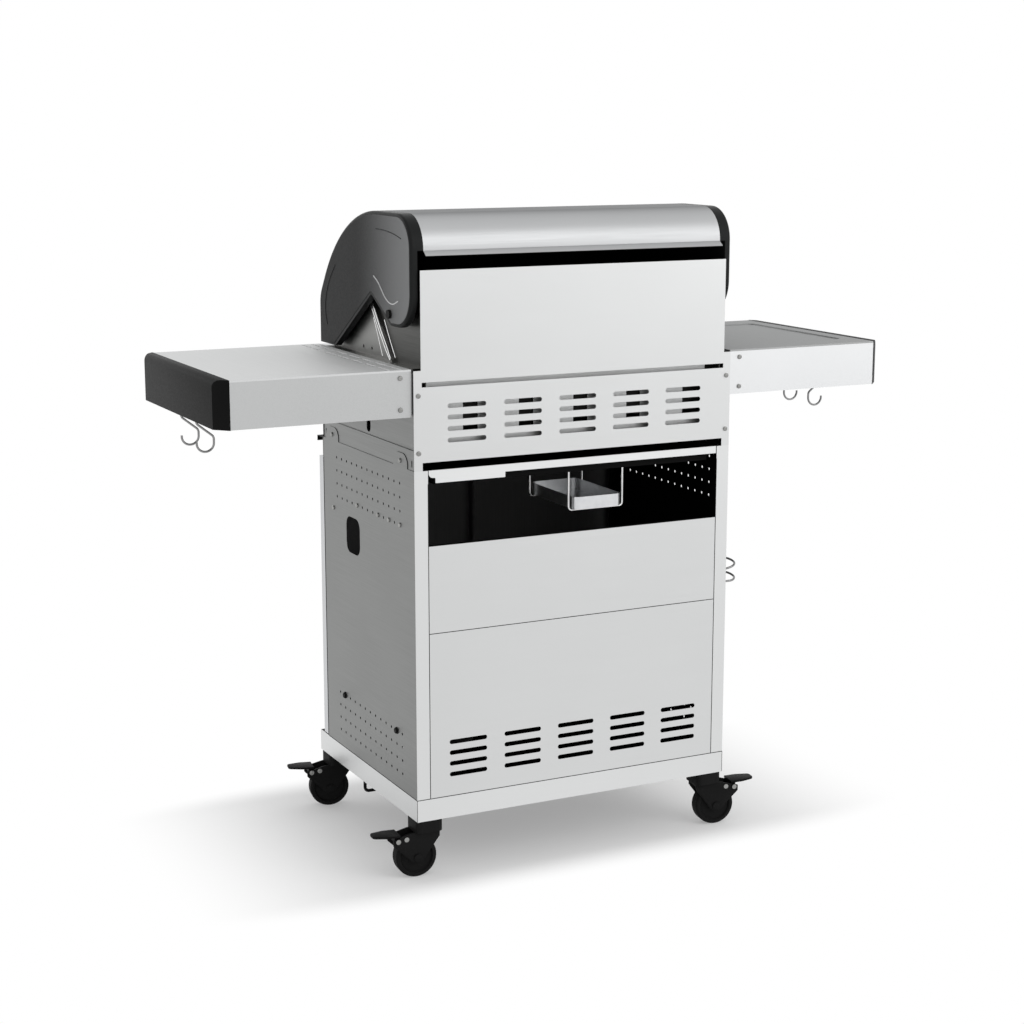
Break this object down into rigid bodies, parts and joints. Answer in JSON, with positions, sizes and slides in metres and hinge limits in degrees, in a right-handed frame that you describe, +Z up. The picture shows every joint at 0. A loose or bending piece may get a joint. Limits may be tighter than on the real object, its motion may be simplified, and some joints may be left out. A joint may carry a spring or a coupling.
{
  "type": "gas grill",
  "caption": "Free-standing gas grill on braked castors: steel cabinet with doors, slotted housing, hinged lid with dark ends, side shelves with hooks, sliding grease tray.",
  "frame": {"origin": "on the floor, below the middle of the whole object's bounding box", "axes": "+Z up, -Y towards the person who cooks, +X to that person's right"},
  "size_m": [1.298, 0.508, 1.1485],
  "materials": {
    "panel_steel": "satin brushed sheet",
    "lid_steel": "brushed along the lid's width",
    "charcoal_paint": "satin charcoal enamel",
    "black_paint": "satin black powder coat",
    "black_plastic": "fine matte grain",
    "wheel_rubber": "matte tread",
    "bright_wire": "plated wire",
    "screw_steel": "zinc plated",
    "plated_sheet": "dull plated sheet",
    "grate_iron": "enamelled casting",
    "burner_steel": "heat-tinted tube",
    "valve_brass": "dull brass"
  },
  "bodies": {
    "cart": {"base_panel": "panel_steel", "side_panel_right": "panel_steel", "side_panel_left": "panel_steel", "rear_panel_lower": "panel_steel", "rear_panel_upper": "panel_steel", "housing_side_right": "panel_steel", "housing_side_left": "panel_steel", "vent_panel": "panel_steel", "firebox_rear_panel": "panel_steel", "control_panel": "panel_steel", "shelf_right": "panel_steel", "shelf_left": "panel_steel", "front_beam": "black_paint", "cylinder_cradle": "black_paint", "castor_plates": "black_paint", "shelf_cap_right": "black_plastic", "shelf_cap_left": "black_plastic", "hose_spiral": "bright_wire", "warming_rack": "bright_wire", "panel_screws": "screw_steel", "lid_pivot_bolts": "screw_steel", "door_hinge_pins": "screw_steel", "firebox_tub": "plated_sheet", "flame_tamers": "plated_sheet", "cooking_grates": "grate_iron", "burners": "burner_steel", "gas_manifold": "valve_brass"},
    "lid": {"lid_skin": "lid_steel", "lid_cap_right": "charcoal_paint", "lid_cap_left": "charcoal_paint", "lid_handle": "panel_steel", "thermometer": "bright_wire"},
    "door_right": {"door_right": "panel_steel"},
    "door_left": {"door_left": "panel_steel"},
    "tray": {"grease_tray": "plated_sheet", "cup_holder": "bright_wire"},
    "cup": {"drip_cup": "plated_sheet"},
    "igniter": {"igniter_button": "black_plastic"},
    "stem_1": {"valve_stem_1": "valve_brass"},
    "knob_1": {"knob_1": "black_plastic"},
    "stem_2": {"valve_stem_2": "valve_brass"},
    "knob_2": {"knob_2": "black_plastic"},
    "stem_3": {"valve_stem_3": "valve_brass"},
    "knob_3": {"knob_3": "black_plastic"},
    "hook_1": {"hook_1": "bright_wire"},
    "castor_1": {"castor_fork_1": "black_paint"},
    "wheel_1": {"castor_wheel_1": "wheel_rubber"},
    "pedal_1": {"brake_pedal_1": "black_plastic"},
    "hook_2": {"hook_2": "bright_wire"},
    "castor_2": {"castor_fork_2": "black_paint"},
    "wheel_2": {"castor_wheel_2": "wheel_rubber"},
    "pedal_2": {"brake_pedal_2": "black_plastic"},
    "hook_3": {"hook_3": "bright_wire"},
    "castor_3": {"castor_fork_3": "black_paint"},
    "wheel_3": {"castor_wheel_3": "wheel_rubber"},
    "pedal_3": {"brake_pedal_3": "black_plastic"},
    "hook_4": {"hook_4": "bright_wire"},
    "castor_4": {"castor_fork_4": "black_paint"},
    "wheel_4": {"castor_wheel_4": "wheel_rubber"},
    "pedal_4": {"brake_pedal_4": "black_plastic"}
  },
  "joints": [
    {"name": "lid_hinge", "type": "hinge", "parent": "cart", "child": "lid", "pos_m": [0, 0.156, 0.9784], "axis": [-1, 0, 0], "range_deg": [0, 80]},
    {"name": "door_right_hinge", "type": "hinge", "parent": "cart", "child": "door_right", "pos_m": [0.303, -0.1815, 0.4], "axis": [0, 0, 1], "range_deg": [0, 100]},
    {"name": "door_left_hinge", "type": "hinge", "parent": "cart", "child": "door_left", "pos_m": [-0.303, -0.1815, 0.4], "axis": [0, 0, -1], "range_deg": [0, 100]},
    {"name": "tray_slide", "type": "slide", "parent": "cart", "child": "tray", "axis": [0, 1, 0], "range_m": [0, 0.35]},
    {"name": "cup_slide", "type": "slide", "parent": "tray", "child": "cup", "axis": [0, 1, 0], "range_m": [0, 0.17]},
    {"name": "igniter_push", "type": "slide", "parent": "cart", "child": "igniter", "axis": [0, 1, 0], "range_m": [0, 0.004], "stiffness_N_per_m": 600},
    {"name": "valve_turn_1", "type": "hinge", "parent": "cart", "child": "stem_1", "pos_m": [-0.17, -0.22, 0.824], "axis": [0, -1, 0], "range_deg": [0, 180]},
    {"name": "knob_push_1", "type": "slide", "parent": "stem_1", "child": "knob_1", "axis": [0, 1, 0], "range_m": [0, 0.004], "stiffness_N_per_m": 500},
    {"name": "valve_turn_2", "type": "hinge", "parent": "cart", "child": "stem_2", "pos_m": [0, -0.22, 0.824], "axis": [0, -1, 0], "range_deg": [0, 180]},
    {"name": "knob_push_2", "type": "slide", "parent": "stem_2", "child": "knob_2", "axis": [0, 1, 0], "range_m": [0, 0.004], "stiffness_N_per_m": 500},
    {"name": "valve_turn_3", "type": "hinge", "parent": "cart", "child": "stem_3", "pos_m": [0.17, -0.22, 0.824], "axis": [0, -1, 0], "range_deg": [0, 180]},
    {"name": "knob_push_3", "type": "slide", "parent": "stem_3", "child": "knob_3", "axis": [0, 1, 0], "range_m": [0, 0.004], "stiffness_N_per_m": 500},
    {"name": "hook_swing_1", "type": "hinge", "parent": "cart", "child": "hook_1", "pos_m": [0.622, -0.005, 0.8175], "axis": [0, 1, 0], "range_deg": [-30, 30]},
    {"name": "hook_swing_2", "type": "hinge", "parent": "cart", "child": "hook_2", "pos_m": [0.622, 0.078, 0.8175], "axis": [0, 1, 0], "range_deg": [-30, 30]},
    {"name": "hook_swing_3", "type": "hinge", "parent": "cart", "child": "hook_3", "pos_m": [-0.622, -0.005, 0.8175], "axis": [0, 1, 0], "range_deg": [-30, 30]},
    {"name": "hook_swing_4", "type": "hinge", "parent": "cart", "child": "hook_4", "pos_m": [-0.622, 0.078, 0.8175], "axis": [0, 1, 0], "range_deg": [-30, 30]},
    {"name": "castor_swivel_1", "type": "hinge", "parent": "cart", "child": "castor_1", "pos_m": [0.285, 0.225, 0.08], "axis": [0, 0, 1], "continuous": true},
    {"name": "wheel_spin_1", "type": "hinge", "parent": "castor_1", "child": "wheel_1", "pos_m": [0.30495, 0.2236, 0.0375], "axis": [0.0698, 0.9976, 0], "continuous": true},
    {"name": "brake_press_1", "type": "hinge", "parent": "castor_1", "child": "pedal_1", "pos_m": [0.34086, 0.22109, 0.0715], "axis": [0.0698, 0.9976, 0], "range_deg": [0, 15]},
    {"name": "castor_swivel_2", "type": "hinge", "parent": "cart", "child": "castor_2", "pos_m": [0.285, -0.185, 0.08], "axis": [0, 0, 1], "continuous": true},
    {"name": "wheel_spin_2", "type": "hinge", "parent": "castor_2", "child": "wheel_2", "pos_m": [0.3047, -0.18847, 0.0375], "axis": [0.1736, 0.9848, 0], "continuous": true},
    {"name": "brake_press_2", "type": "hinge", "parent": "castor_2", "child": "pedal_2", "pos_m": [0.34015, -0.19472, 0.0715], "axis": [0.1736, 0.9848, 0], "range_deg": [0, 15]},
    {"name": "castor_swivel_3", "type": "hinge", "parent": "cart", "child": "castor_3", "pos_m": [-0.285, 0.225, 0.08], "axis": [0, 0, 1], "continuous": true},
    {"name": "wheel_spin_3", "type": "hinge", "parent": "castor_3", "child": "wheel_3", "pos_m": [-0.3048, 0.22778, 0.0375], "axis": [-0.1392, -0.9903, 0], "continuous": true},
    {"name": "brake_press_3", "type": "hinge", "parent": "castor_3", "child": "pedal_3", "pos_m": [-0.34046, 0.23279, 0.0715], "axis": [-0.1392, -0.9903, 0], "range_deg": [0, 15]},
    {"name": "castor_swivel_4", "type": "hinge", "parent": "cart", "child": "castor_4", "pos_m": [-0.285, -0.185, 0.08], "axis": [0, 0, 1], "continuous": true},
    {"name": "wheel_spin_4", "type": "hinge", "parent": "castor_4", "child": "wheel_4", "pos_m": [-0.3048, -0.18778, 0.0375], "axis": [0.1392, -0.9903, 0], "continuous": true},
    {"name": "brake_press_4", "type": "hinge", "parent": "castor_4", "child": "pedal_4", "pos_m": [-0.34046, -0.19279, 0.0715], "axis": [0.1392, -0.9903, 0], "range_deg": [0, 15]}
  ]
}
